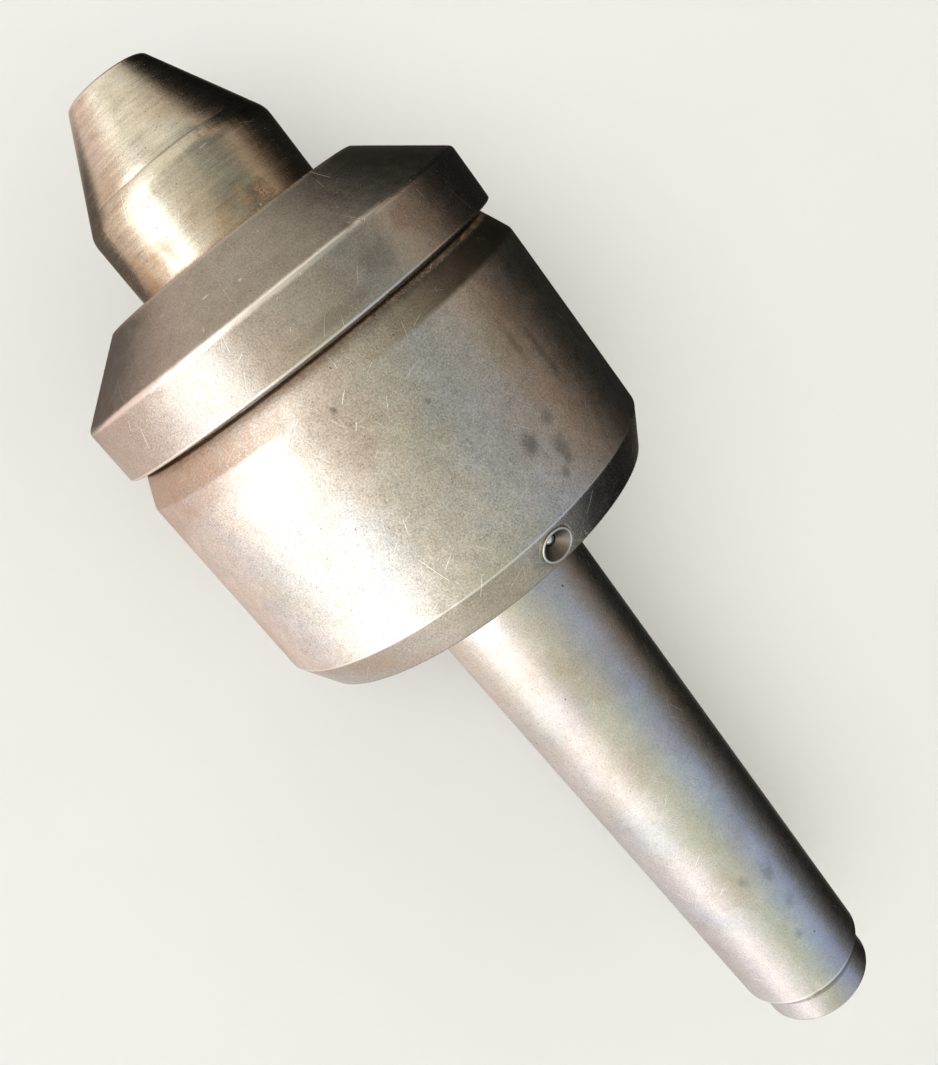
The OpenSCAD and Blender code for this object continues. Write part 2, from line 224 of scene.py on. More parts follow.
class Finish:
    """Builds one node tree; each method adds a node and returns its output socket."""

    def __init__(self, tree):
        self.tree = tree
        self.tree.nodes.clear()

    def add(self, kind, inputs=None, out=0, **settings):
        """One node with its settings; an input is linked if it is a socket, and set otherwise."""
        node = self.tree.nodes.new(kind)
        for key, value in settings.items():
            setattr(node, key, value)
        for key, value in (inputs or {}).items():
            if isinstance(value, bpy.types.NodeSocket):
                self.tree.links.new(value, node.inputs[key])
            else:
                node.inputs[key].default_value = value
        return node.outputs[out] if len(node.outputs) else None

    def calc(self, operation, a, b=0.0):
        return self.add("ShaderNodeMath", {0: a, 1: b}, operation=operation)

    def parts(self, value, kind="ShaderNodeSeparateXYZ"):
        """The three parts of a vector or colour."""
        node = self.tree.nodes.new(kind)
        self.tree.links.new(value, node.inputs[0])
        return node.outputs

    def times(self, *factors):
        result = factors[0]
        for factor in factors[1:]:
            result = self.calc("MULTIPLY", result, factor)
        return result

    def plus(self, *terms):
        result = terms[0]
        for term in terms[1:]:
            result = self.calc("ADD", result, term)
        return result

    def most(self, *terms):
        result = terms[0]
        for term in terms[1:]:
            result = self.calc("MAXIMUM", result, term)
        return result

    def span(self, value, low, high, to_low=0.0, to_high=1.0, kind="SMOOTHSTEP"):
        """value carried from low..high to to_low..to_high, held at the ends."""
        return self.add("ShaderNodeMapRange", {0: value, 1: low, 2: high, 3: to_low, 4: to_high},
                        interpolation_type=kind)

    def pack(self, x, y, z):
        return self.add("ShaderNodeCombineXYZ", {0: x, 1: y, 2: z})

    def noise(self, where, scale, detail=3.0, roughness=0.55, distortion=0.0, out=0):
        return self.add("ShaderNodeTexNoise", {"Vector": where, "Scale": scale, "Detail": detail,
                        "Roughness": roughness, "Distortion": distortion}, out=out)

    def mix(self, factor, a, b, blend="MIX"):
        """Colour a changed towards b by factor."""
        node = self.tree.nodes.new("ShaderNodeMix")
        node.data_type = "RGBA"
        node.blend_type = blend
        for key, value in ((0, factor), (6, a), (7, b)):
            if isinstance(value, bpy.types.NodeSocket):
                self.tree.links.new(value, node.inputs[key])
            elif key:
                node.inputs[key].default_value = (*value, 1)
            else:
                node.inputs[key].default_value = value
        return node.outputs[2]

    def lathe_space(self):
        """Station and radius in mm, turn in degrees from the top, and a seamless ring direction."""
        where = self.add("ShaderNodeTexCoord", out=OBJECT_PLACE)
        self.mm = self.add("ShaderNodeVectorMath", {0: where, 3: 1 / MM}, operation="SCALE")
        self.x, y, z = self.parts(self.mm)
        self.r = self.calc("SQRT", self.plus(self.times(y, y), self.times(z, z)))
        turn = self.calc("ARCTAN2", self.calc("MULTIPLY", y, -1.0), z)
        self.turn = self.times(turn, math.degrees(1))
        self.around = self.times(turn, self.r)
        safe = self.calc("MAXIMUM", self.r, 0.01)
        self.ring_y = self.calc("DIVIDE", y, safe)
        self.ring_z = self.calc("DIVIDE", z, safe)

    def rings(self, along, across):
        """A vector for marks that run round: along per mm of station, across per unit of ring."""
        return self.pack(self.times(self.x, along), self.times(self.ring_y, across),
                         self.times(self.ring_z, across))

    def spot(self, x0, turn0, size_x, size_turn, edge=0.45):
        """A patch at a station and turn, 1 inside and 0 outside, with a ragged edge."""
        dx = self.calc("DIVIDE", self.calc("SUBTRACT", self.x, x0), size_x)
        dt = self.calc("DIVIDE", self.calc("SUBTRACT", self.turn, turn0), size_turn)
        far = self.calc("SQRT", self.plus(self.times(dx, dx), self.times(dt, dt)))
        ragged = self.plus(far, self.times(self.calc("SUBTRACT", self.rag, 0.5), edge * 2.6))
        return self.span(ragged, 1.0, 1.0 - edge * 1.6)

    def near(self, x0, width, ragged=0.5):
        """A band round the piece at a station, 1 on it and fading over width."""
        far = self.calc("ABSOLUTE", self.calc("SUBTRACT", self.x, x0))
        far = self.calc("DIVIDE", far, width)
        far = self.plus(far, self.times(self.calc("SUBTRACT", self.rag, 0.5), ragged))
        return self.span(far, 1.0, 0.25)

    def spots(self, mask, table):
        """mask with the table's patches laid over it: (*what spot() takes, strength) each."""
        for *patch, strength in table:
            mask = self.most(mask, self.times(self.spot(*patch), strength))
        return mask

    def surface(self, shader):
        """The tree's end: a shader as the material's surface."""
        self.add("ShaderNodeOutputMaterial", {"Surface": shader})


def new_finish(name):
    """An empty material and the builder of its nodes."""
    material = bpy.data.materials.new(name)
    material.use_nodes = True
    return material, Finish(material.node_tree)


LONG_CELL = 2.2                   # a scratch cell's length over its width


def scratch_group():
    """Straight scratches, one to a cell of a tilted grid, as a mask.

    Each cell gets a random centre, tilt, length and presence; the mask is 1 within the scratch's
    half width of its line and falls to 0 beyond it.
    """
    group = bpy.data.node_groups.new("scratches", "ShaderNodeTree")
    sockets = (("Along", 0.0), ("Around", 0.0), ("Cell", 6.0), ("Tilt", 0.0), ("Spread", 0.5),
               ("Width", 0.05), ("Share", 0.5), ("Seed", 0.0))
    for name, value in sockets:
        socket = group.interface.new_socket(name, in_out="INPUT", socket_type="NodeSocketFloat")
        socket.default_value = value
    group.interface.new_socket("Mask", in_out="OUTPUT", socket_type="NodeSocketFloat")
    f = Finish(group)
    entry = group.nodes.new("NodeGroupInput").outputs
    u, v, cell, tilt, spread, width, share, seed = (entry[name] for name, _ in sockets)
    cos, sin = f.calc("COSINE", tilt), f.calc("SINE", tilt)
    p = f.calc("DIVIDE", f.plus(f.times(u, cos), f.times(v, sin)), f.times(cell, LONG_CELL))
    q = f.calc("DIVIDE", f.calc("SUBTRACT", f.times(v, cos), f.times(u, sin)), cell)
    p = f.plus(p, f.times(f.calc("FLOOR", q), 0.37))
    number = f.pack(f.calc("FLOOR", p), f.calc("FLOOR", q), seed)
    dice = f.add("ShaderNodeTexWhiteNoise", {"Vector": number}, out=1, noise_dimensions="3D")
    one, two, three = f.parts(dice, SPLIT_COLOUR)
    again = f.pack(f.calc("FLOOR", q), seed, f.plus(f.calc("FLOOR", p), 31.7))
    four = f.add("ShaderNodeTexWhiteNoise", {"Vector": again}, noise_dimensions="3D")
    lp = f.calc("SUBTRACT", f.calc("FRACT", p), f.plus(0.3, f.times(one, 0.4)))
    lq = f.calc("SUBTRACT", f.calc("FRACT", q), f.plus(0.3, f.times(two, 0.4)))
    lp = f.times(lp, LONG_CELL)
    lean = f.times(f.calc("SUBTRACT", three, 0.5), spread)
    c2, s2 = f.calc("COSINE", lean), f.calc("SINE", lean)
    along = f.plus(f.times(lp, c2), f.times(lq, s2))
    across = f.calc("SUBTRACT", f.times(lq, c2), f.times(lp, s2))
    bend = f.times(f.times(along, along), f.times(f.calc("SUBTRACT", one, 0.5), 0.25))
    across = f.plus(across, bend)
    half_length = f.plus(0.08, f.times(two, 0.4))
    past = f.calc("MAXIMUM", f.calc("SUBTRACT", f.calc("ABSOLUTE", along), half_length), 0.0)
    far = f.calc("SQRT", f.plus(f.times(past, past), f.times(across, across)))
    half = f.calc("DIVIDE", width, cell)
    mask = f.span(far, half, 0.0, 0.0, 1.0, "LINEAR")
    shown = f.calc("LESS_THAN", four, share)
    strength = f.plus(0.3, f.times(three, 0.7))
    leave = group.nodes.new("NodeGroupOutput")
    group.links.new(f.times(mask, shown, strength), leave.inputs[0])
    return group


SCRATCHES = scratch_group()

OLD_OIL = ((0.43, 0.42, 0.33), (0.44, 0.47, 0.50), (0.46, 0.37, 0.31))
BROWN_FILM_AND_SHADE = ((0.46, 0.38, 0.26), (0.36, 0.31, 0.23))
GRIME_AND_SHADE = (0.085, 0.072, 0.058)
RUST = ((0.17, 0.06, 0.025), (0.62, 0.36, 0.17))
PIT = (0.075, 0.06, 0.05)
WORN_AND_HIGHLIGHT_BRIGHT = (0.78, 0.76, 0.72)


def steel(name, tone, roughness, zones, marks=(0.0, 0.0), scratches=(), pits=0.3, specks=0.2,
          patina=0.5, grain=0.5, calm=None, tints=OLD_OIL):
    """Bare steel with a worn patina.

    tone is the clean metal, marks (count per mm, strength) the turning marks that run round,
    scratches a list of (cell, tilt, spread, width, share, seed), pits and specks how many dots
    there are, patina the strength of the oil films and tints their colours, grain the strength of
    the mottling, calm (from, to, share) a stretch along X over which the grain weakens to a share
    of itself, and zones(f) gives the masks of rust, dark grime and painted shade, bright rubbed
    edges and painted highlights, brown film and painted shade, and a change of roughness.
    """
    material, f = new_finish(name)
    f.lathe_space()
    f.rag = f.noise(f.mm, 0.6, 5.0, 0.7)
    cloud = f.noise(f.mm, 0.06, 3.0, 0.55, 0.3)
    mottle = f.noise(f.mm, 0.42, 5.0, 0.68)
    fleck = f.noise(f.mm, 3.4, 2.0, 0.9)
    rust, grime_and_shade, bright, film_and_shade_mask, dull = zones(f)
    if calm:
        grain = f.span(f.x, calm[0], calm[1], grain, grain * calm[2])

    # Fine cut marks round the piece, with a slower beat so that some rings read stronger
    fine = f.noise(f.rings(marks[0], 1.6), 1.0, 5.0, 0.8)
    beat = f.noise(f.rings(marks[0] * 0.23, 1.1), 1.0, 4.0, 0.8)
    lines = f.times(f.calc("SUBTRACT", f.plus(f.times(fine, 0.6), f.times(beat, 0.4)), 0.5), marks[1] * 2.0)

    scars = 0.0
    for cell, tilt, spread, width, share, seed in scratches:
        node = f.tree.nodes.new("ShaderNodeGroup")
        node.node_tree = SCRATCHES
        f.tree.links.new(f.x, node.inputs["Along"])
        f.tree.links.new(f.around, node.inputs["Around"])
        for key, value in (("Cell", cell), ("Tilt", tilt), ("Spread", spread), ("Width", width),
                           ("Share", share), ("Seed", seed)):
            node.inputs[key].default_value = value
        scars = f.most(scars, node.outputs[0])
    scars = f.times(scars, f.span(f.noise(f.mm, 0.10, 2.0, 0.5), 0.36, 0.6, 0.45, 1.25))

    # Pits and dark pepper: small dots, of which chance keeps a share
    def dots(scale, share, size):
        cells = f.tree.nodes.new("ShaderNodeTexVoronoi")
        cells.inputs["Scale"].default_value = scale
        f.tree.links.new(f.mm, cells.inputs["Vector"])
        dice = f.parts(cells.outputs["Color"], SPLIT_COLOUR)
        reach = f.times(f.plus(0.35, dice[1]), size * scale)
        inside = f.span(f.calc("SUBTRACT", cells.outputs["Distance"], reach), 0.06, -0.06)
        return f.times(inside, f.calc("LESS_THAN", dice[0], share))
    pit = dots(0.55, pits * 0.12, 0.17)
    in_patches = f.span(f.plus(f.times(cloud, 0.5), f.times(mottle, 0.5)), 0.46, 0.56, 0.15, 1.0)
    pepper = f.times(dots(2.1, specks * 0.7, 0.075), in_patches, 0.75)
    # Painted glints: tiny bright flecks of sheen, laid into the colour
    spark = f.times(dots(1.3, 0.10, 0.07), 0.5)

    # Colour: oil films, then brown film and painted shade, grain, grime and painted shade, rust, pits, and
    # the bright scars, rubbed edges, painted highlights and painted glints
    film = f.parts(f.noise(f.mm, 0.055, 3.0, 0.6, 0.2, out=1), SPLIT_COLOUR)
    colour = tone
    for amount, tint in zip(film, tints):
        colour = f.mix(f.times(f.span(amount, 0.48, 0.66), patina), colour, tint)
    # Brown film, and painted shade where a zone puts it in the film mask
    colour = f.mix(f.times(film_and_shade_mask, 0.8), colour, f.mix(mottle, *BROWN_FILM_AND_SHADE))
    shade = f.plus(1.0, f.times(lines, 0.7), f.times(f.calc("SUBTRACT", fleck, 0.5), grain),
                   f.times(f.calc("SUBTRACT", mottle, 0.5), 0.35, grain))
    colour = f.mix(1.0, colour, f.add("ShaderNodeCombineColor", {0: shade, 1: shade, 2: shade}), "MULTIPLY")
    # Dark grime, and painted shade where a zone puts it in the grime mask
    colour = f.mix(f.times(grime_and_shade, 0.85), colour, GRIME_AND_SHADE)
    rust_grain = f.noise(f.mm, 2.8, 4.0, 0.75)
    crust = f.plus(f.times(rust_grain, 0.7), f.times(mottle, 0.3))
    rust_mask = f.times(rust, f.span(crust, 0.42, 0.58, 0.25, 1.0))
    rust_colour = f.mix(f.span(rust_grain, 0.38, 0.62), *RUST)
    colour = f.mix(f.times(rust_mask, 0.85), colour, rust_colour)
    colour = f.mix(f.times(f.most(pit, pepper), 0.8), colour, PIT)
    # Lightened toward the bright colour: scratches, partly as a painted highlight on top of their bump,
    # rubbed edges and the zones' painted highlights, and painted glints
    light = f.most(f.times(scars, 0.7), bright, spark)
    colour = f.mix(f.calc("MINIMUM", light, 1.0), colour, WORN_AND_HIGHLIGHT_BRIGHT)

    rough = f.plus(roughness, dull, f.times(f.calc("SUBTRACT", mottle, 0.5), 0.14),
                   f.times(f.calc("SUBTRACT", fleck, 0.5), 0.22),
                   f.times(f.calc("SUBTRACT", cloud, 0.5), 0.10), f.times(lines, 0.14),
                   f.times(rust_mask, 0.26), f.times(grime_and_shade, 0.1), f.times(pepper, 0.2))
    rough = f.calc("SUBTRACT", rough, f.times(bright, 0.05))
    rough = f.calc("MAXIMUM", f.calc("MINIMUM", rough, 0.9), 0.1)
    metal = f.span(f.plus(f.times(rust_mask, 0.8), f.times(grime_and_shade, 0.35)), 0.2, 1.0, 1.0, 0.3)

    height = f.plus(f.times(lines, 0.014), f.times(scars, -0.035), f.times(f.most(pit, pepper), -0.05),
                    f.times(f.calc("SUBTRACT", fleck, 0.5), 0.018, grain),
                    f.times(f.calc("SUBTRACT", mottle, 0.5), 0.02),
                    f.times(rust_mask, rust_grain, 0.05))
    normal = f.add("ShaderNodeBump", {"Strength": 0.8, "Distance": MM, "Height": height})
    f.surface(f.add("ShaderNodeBsdfPrincipled", {"Base Color": colour, "Roughness": rough,
                    "Metallic": metal, "Normal": normal}))
    return material


def no_zones(f):
    """Clean metal all over."""
    return 0.0, 0.0, 0.0, 0.0, 0.0


# ---- The housing with its tapered shank ----

REAR = -6.5
CHAMFER_START = -13.0
HOUSING_FRONT = -53.0
CHAMFER_END = -48.0
BODY_R = round(housing_hi.z / MM, 3)
REAR_R = 34.0
STUB_END = round(housing_hi.x / MM, 3)
TAPER_END = 102.5
TAPER_SMALL_R = 12.97

# Patches: (station, turn, size along, size of turn, raggedness, strength) each
HOUSING_RUST = (
    (-46.6, 62, 3.2, 22, 0.45, 0.5), (-45.5, 84, 5, 16, 0.45, 0.45), (-10.8, 57, 3.4, 13, 0.45, 0.5),
    (-43.2, -26, 5.5, 4.5, 0.45, 0.4), (-46, -150, 8, 40, 0.45, 0.6), (-12.5, 150, 6, 30, 0.45, 0.5),
    (-12.5, 70, 2.5, 6, 0.45, 0.4))
HOUSING_SMUDGES = (
    (-24.1, -9, 2.8, 3.4, 0.6, 0.6), (-20.2, -15, 4.6, 3.2, 0.6, 0.55), (-25.2, -17, 1.8, 2.6, 0.6, 0.5),
    (-32.2, -28, 7.5, 2.0, 0.6, 0.55), (-37.0, -22, 5.5, 1.8, 0.6, 0.4), (-46.2, 21, 0.8, 1.1, 0.6, 0.7),
    (-38.9, 4, 0.7, 1.1, 0.6, 0.6), (-15.0, 100, 9.0, 14, 0.6, 0.3), (-34, 150, 12, 20, 0.6, 0.35),
    (-17.5, -12, 1.6, 1.6, 0.6, 0.5), (73.5, -4, 3.4, 8, 0.6, 0.4), (81.7, -4, 2.4, 7, 0.6, 0.35),
    (71.7, 16, 2.0, 6, 0.6, 0.35), (88.5, 7, 1.6, 6, 0.6, 0.35), (-9.6, 1, 4.4, 8.5, 0.4, 0.5))


def housing_zones(f):
    """Rust at the front chamfer, smudges on the side, an oily ring round the oiler, rubbed edges.

    The joint at the housing's front is dark grime all round, with painted shade making it darker on
    the side turned from the light. Painted shade also darkens the front chamfer on that side, and puts
    a dark line at the taper's end and a dark band on the stub. A painted highlight lightens a line
    just ahead of the taper's end.
    """
    on_front = f.span(f.x, CHAMFER_END + 0.6, CHAMFER_END - 0.3)
    low_side = f.times(f.span(f.turn, 12.0, 55.0, 0.0, 0.75), f.span(f.turn, 179, 120, 0.4, 1))
    rust = f.times(on_front, f.most(low_side, f.times(f.near(HOUSING_FRONT + 0.2, 0.9), 0.6)))
    rust = f.spots(f.most(rust, f.times(f.near(REAR + 0.6, 0.9), 0.6)), HOUSING_RUST)
    # Grime at the joint, deepened as painted shade on the side away from the light (turns under 30), and
    # painted shade on the front chamfer's side away from the light
    grime_and_shade = f.most(f.times(f.near(HOUSING_FRONT, 0.35, 0.3), f.span(f.turn, 30, 62, 0.6, 0.2)),
                   f.times(on_front, f.span(f.turn, 4, -18, 0, 0.7)))
    # Smudges and grime at the rear edge; the two bands at the taper's end are painted shade, a dark line at
    # the edge and a dark band on the stub behind it
    grime_and_shade = f.most(f.spots(grime_and_shade, HOUSING_SMUDGES), f.times(f.near(REAR + 0.25, 0.7, 0.3), 0.4),
                   f.times(f.near(TAPER_END + 0.15, 0.4, 0.2), 0.95),
                   f.times(f.near(TAPER_END + 1.5, 0.8, 0.4), 0.6))
    # Rubbed edges, and a painted highlight: the line just ahead of the taper's end
    bright = f.most(f.times(f.near(CHAMFER_START, 0.28), 0.7), f.times(f.near(CHAMFER_END, 0.35), 0.15),
                    f.times(f.near(TAPER_END - 0.7, 0.35), 0.6), f.times(f.near(STUB_END - 0.3, 0.5), 0.6))
    on_rear = f.span(f.x, REAR + 0.2, CHAMFER_START, 0.0, 1.0)
    dull = f.plus(f.times(on_rear, f.span(f.x, CHAMFER_START, CHAMFER_START + 0.4, 0.07, 0.0)),
                  f.span(f.x, -6, 0, 0.0, 0.03))
    past_edge = f.span(f.x, CHAMFER_START - 0.2, CHAMFER_START + 0.3)
    film = f.most(f.times(past_edge, f.span(f.x, REAR + 0.6, REAR), 0.85),
                  f.times(on_front, f.span(f.turn, 20, -5), 0.7), f.times(f.spot(88, 17, 9, 9, 0.7), 0.35))
    return rust, grime_and_shade, bright, film, dull


OILER_TILT = math.atan2(BODY_R - REAR_R, REAR - CHAMFER_START)
OILER_R = 3.0
OILER_SEAT = 6.5                  # the seat's depth under the chamfer
OILER_FLOOR = -5.9                # the cup's inner floor, along the chamfer's normal
OILER_SEAT_RINGS = ((0.45, 0), (0.8, 0), (0.95, 0), (1, 0.04), (1, 0.2), (1, 2), (1, OILER_SEAT))
PATCH_COLUMNS = 8                 # columns of the chamfer on each side of the oiler's seat
PATCH_ROWS = 12

NEEDLE_BORE_END, THRUST_BORE_END = -11.0, -35.75
CAP_SHOULDER, SPIGOT_END = -49.0, -61.7
SPIGOT_R = 32.0
RING_GROOVE_FRONT, RING_GROOVE_REAR, RING_GROOVE_R = -57.3, -54.7, 30.0
UNDERCUT_R, STUB_R = 10.45, 11.25
STUB_HOLE_R, PILOT_R = 4.25, 2.0
STUB_CONE, STUB_PILOT = 3.9, 9.0  # depths of the centre hole's cone and pilot


def housing_outline():
    """The housing's outline from the bottom of its bores forwards, out and back to the stub."""
    return [(-8.5, 0, 0), (-8.5, 10.5, 0.3), (NEEDLE_BORE_END, 10.5, 0), (NEEDLE_BORE_END, 13, 0.3),
            (-28, 13, 0.3), (-28, 18, 0.3), (-31, 18, 0.3), (-31, 23.5, 0.2),
            (THRUST_BORE_END, 23.5, 0), (THRUST_BORE_END, 24, 0), (CAP_SHOULDER, 24, 0.2),
            (CAP_SHOULDER, 27.5, 0.3), (SPIGOT_END, 27.5, 0.4), (SPIGOT_END, SPIGOT_R, 0.5),
            (RING_GROOVE_FRONT, SPIGOT_R, 0.2), (RING_GROOVE_FRONT, RING_GROOVE_R, 0.2),
            (RING_GROOVE_REAR, RING_GROOVE_R, 0.2), (RING_GROOVE_REAR, SPIGOT_R, 0.2),
            (HOUSING_FRONT, SPIGOT_R, 0.2), (HOUSING_FRONT, 35.1, 0.35),
            (CHAMFER_END, BODY_R, 1.6), (CHAMFER_START, BODY_R, 0.35), (REAR, REAR_R, 0.45),
            (REAR, 15.8, 0.6), (TAPER_END, TAPER_SMALL_R, 0.6), (TAPER_END, UNDERCUT_R, 0.2),
            (TAPER_END + 1.2, UNDERCUT_R, 0.2), (TAPER_END + 1.2, STUB_R, 0.25),
            (STUB_END, STUB_R, 0.8), (STUB_END, STUB_HOLE_R, 0.2), (STUB_END - STUB_CONE, PILOT_R, 0),
            (STUB_END - STUB_PILOT, PILOT_R, 0.2), (STUB_END - STUB_PILOT, 0, 0)]


OILER_CENTRE = np.array([(REAR + CHAMFER_START) / 2, 0, (BODY_R + REAR_R) / 2])
OILER_TURN = np.array([[math.cos(OILER_TILT), 0, math.sin(OILER_TILT)], [0, 1, 0],
                       [-math.sin(OILER_TILT), 0, math.cos(OILER_TILT)]])


def at_oiler(points):
    """Points given from the oiler's place, with Z along the chamfer's normal, in the whole frame."""
    return points @ OILER_TURN.T + OILER_CENTRE


def build_housing(material):
    """The turned housing, with the oiler's seat sunk in a window of its rear chamfer.

    The window's rim is carried to the seat's circle in rings (t, depth): each point is its rim
    point moved t of the way to the circle point at the same angle, and depth down. The flat part
    of the ring follows the chamfer's curve, y squared * cos(tilt) / (the radii's sum).
    """
    outline = rounded(housing_outline(), False)
    x, r = outline.T
    near_by, clear_of_edge = 0.02, 0.05
    on_slope = np.abs(r - BODY_R + (x - CHAMFER_START) * math.tan(OILER_TILT)) < near_by
    on_slope &= (x > CHAMFER_START + clear_of_edge) & (x < REAR - clear_of_edge)
    reach = np.linalg.norm(np.diff(outline, axis=0), axis=1) * (on_slope[:-1] & on_slope[1:])
    start = int(np.argmax(reach))
    slope = np.linspace(outline[start], outline[start + 1], PATCH_ROWS + 1)
    before = refined(outline[:start + 1], HOUSING_STEP, False)
    after = refined(outline[start + 1:], HOUSING_STEP, False)
    outline = np.concatenate([before[:-1], slope, after[1:]])
    first = len(before) - 1
    edges = [(CHAMFER_START, 0.5, 0.05, 3), (CHAMFER_END, 0.8, 0.04, 5), (HOUSING_FRONT, 0.4, 0.06, 7),
             (REAR, 0.3, 0.04, 9), (TAPER_END, 0.4, 0.05, 11), (STUB_END, 0.5, 0.05, 13)]
    dents = [(-48.6, 31, 1.0, 0.12), (-52.7, -9, 0.9, 0.15), (-12.8, 29, 0.8, 0.10),
             (-48.1, -130, 1.2, 0.15), (-13.2, 160, 1.1, 0.15), (102.1, 24, 0.8, 0.12),
             (101.8, 190, 0.9, 0.12), (-13, -70, 1.0, 0.1)]
    points, quads = turned(outline, False, wear=edge_wear(edges, dents))

    rows = np.arange(first, first + PATCH_ROWS + 1)
    columns = np.arange(-PATCH_COLUMNS, PATCH_COLUMNS + 1) % COLUMNS
    grid = rows[:, None] * COLUMNS + columns
    cut = np.isin(quads[:, 0], grid[:-1, :-1])
    rim = np.concatenate([grid[0, :-1], grid[:-1, -1], grid[-1, :0:-1], grid[:0:-1, 0]])
    own = (points[rim] - OILER_CENTRE) @ OILER_TURN
    angle = np.arctan2(own[:, 1], own[:, 0])
    circle = OILER_R * np.column_stack([np.cos(angle), np.sin(angle)])
    steps = np.array(OILER_SEAT_RINGS)
    flat = own[None, :, :2] + (circle - own[:, :2])[None] * steps[:, :1, None]
    curve = flat[..., 1] ** 2 * math.cos(OILER_TILT) / (BODY_R + REAR_R)
    sunk = np.dstack([flat, -curve - steps[:, 1:]])
    rings = at_oiler(sunk).reshape(-1, 3)
    middle = at_oiler(np.array([[0, 0, -OILER_SEAT]]))
    count = len(rim)
    index = np.vstack([rim, len(points) + np.arange(len(rings)).reshape(-1, count),
                       np.full(count, len(points) + len(rings))])
    ahead = np.roll(index, -1, axis=1)
    patch = np.stack([index[:-1], ahead[:-1], ahead[1:], index[1:]], -1).reshape(-1, 4)
    return solid("housing_and_shank", np.concatenate([points, rings, middle]),
                 np.concatenate([quads[~cut], patch]), material, "housing_body", "housing")


# ---- The front cap ----

FACE = round(cap_lo.x / MM, 3)
CAP_REAR = round(cap_hi.x / MM, 3)
RIM_FRONT = CAP_REAR - 10.0
FACE_R = 24.5                     # where the flat face meets the bevel
SEAL_R = 23.5
CAP_BORE_R = 17.7
RIM_R = round(cap_hi.z / MM, 3)


def build_cap(material):
    """The cap on the housing's spigot: a flat face, a wide bevel, a plain rim and the recess for the seal."""
    recess, seal_floor = -62, -69
    path = [(FACE, CAP_BORE_R, 0.3), (FACE, FACE_R, 0.5), (RIM_FRONT, RIM_R, 1.2),
            (CAP_REAR, RIM_R, 0.35), (CAP_REAR, SPIGOT_R, 0.3), (recess, SPIGOT_R, 0),
            (recess, SEAL_R, 0.2), (seal_floor, SEAL_R, 0), (seal_floor, CAP_BORE_R, 0.3)]
    outline = refined(rounded(path, True), FINE_STEP, True)
    edges = [(RIM_FRONT, 0.7, 0.07, 21), (CAP_REAR, 0.35, 0.05, 23), (FACE, 0.5, 0.05, 25)]
    dents = [(-64.2, -7, 0.9, 0.14), (-68.7, -15, 0.7, 0.08), (-67.5, 20, 0.7, 0.07),
             (-63.9, 44, 0.9, 0.12), (-63.6, 120, 1.1, 0.16), (-63.8, -100, 1.2, 0.18),
             (-54.2, 170, 1.0, 0.12), (-73.0, 200, 0.9, 0.1)]
    points, quads = turned(outline, True, wear=edge_wear(edges, dents))
    return solid("bevelled_front_cap", points, quads, material, "housing_body", "front_cap")


# ---- The nose spindle with its 60 degree point ----

TIP = round(nose_lo.x / MM, 3)
CORNER = -86.0
NOSE_R = 17.5
TAIL = round(nose_hi.x / MM, 3)
TIP_R = 7.5
CONE_RISE = (NOSE_R - TIP_R) / (CORNER - TIP)
LINE = CORNER - 0.135 * (CORNER - TIP)   # the fine line turned round the cone
SEAT_R, SNAP_R, NEEDLE_R, TAIL_R = 15.0, 14.3, 12.5, 10.0


def build_nose(material):
    """The running spindle: point, plain nose, bearing seats and the centre holes in its ends.

    The cone's radius at station x is TIP_R + (x - TIP) * CONE_RISE.
    """
    line = [(LINE + dx, TIP_R + (LINE + dx - TIP) * CONE_RISE - depth, rounding)
            for dx, depth, rounding in ((-0.2, 0, 0), (0, 0.05, 0.05), (0.2, 0, 0))]
    seal_end, snap_front, snap_rear, shoulder, step = -62, -49, -47.5, -46, -30
    path = [(TIP + 6, 0, 0), (TIP + 6, 1.6, 0.2), (TIP + 2.77, 1.6, 0.2), (TIP, 3.2, 0.15),
            (TIP, TIP_R, 0.9), *line, (CORNER, NOSE_R, 7.5), (seal_end, NOSE_R, 0.3),
            (seal_end, SEAT_R, 0), (snap_front, SEAT_R, 0.1), (snap_front, SNAP_R, 0),
            (snap_rear, SNAP_R, 0), (snap_rear, SEAT_R, 0.1), (shoulder, SEAT_R, 0.2),
            (shoulder, NEEDLE_R, 0), (step, NEEDLE_R, 0.5), (step, TAIL_R, 0), (TAIL, TAIL_R, 1),
            (TAIL, STUB_HOLE_R, 0.2), (TAIL - STUB_CONE, PILOT_R, 0.1),
            (TAIL - STUB_PILOT, PILOT_R, 0.2), (TAIL - STUB_PILOT, 0, 0)]
    outline = refined(rounded(path, False), FINE_STEP, False)
    edges = [(TIP, 0.5, 0.08, 31), (CORNER, 3.0, 0.04, 33)]
    dents = [(-88.2, -7, 0.5, 0.03), (-87.1, -5, 0.45, 0.03), (-102.2, 60, 0.6, 0.08),
             (-96.4, 24, 0.5, 0.05), (-92.0, -140, 0.8, 0.1), (-82.5, 150, 0.7, 0.08)]
    points, quads = turned(outline, False, wear=edge_wear(edges, dents))
    return solid("nose_point", points, quads, material, "spindle_body", "nose_spindle")


def build_oiler(material):
    """The press-in ball oiler's cup: a dished rim round a throat, turned about the chamfer's normal."""
    throat, bore_r, outlet_r, rim_height = 1.0, 1.45, 0.6, 0.3
    path = [(-1.8, throat, 0.1), (-1.5, throat, 0.2), (rim_height, 2.65, 0.12), (rim_height, OILER_R, 0.15),
            (-OILER_SEAT, OILER_R, 0.3), (-OILER_SEAT, outlet_r, 0), (OILER_FLOOR, outlet_r, 0),
            (OILER_FLOOR, bore_r, 0), (-1.8, bore_r, 0)]
    outline = refined(rounded(path, True), CUP_STEP, True)
    points, quads = turned(outline, True, columns=96)
    points = at_oiler(points[:, ::-1])
    return solid("oiler_cup_turned", points, quads, material, "housing_body", "oiler_cup")


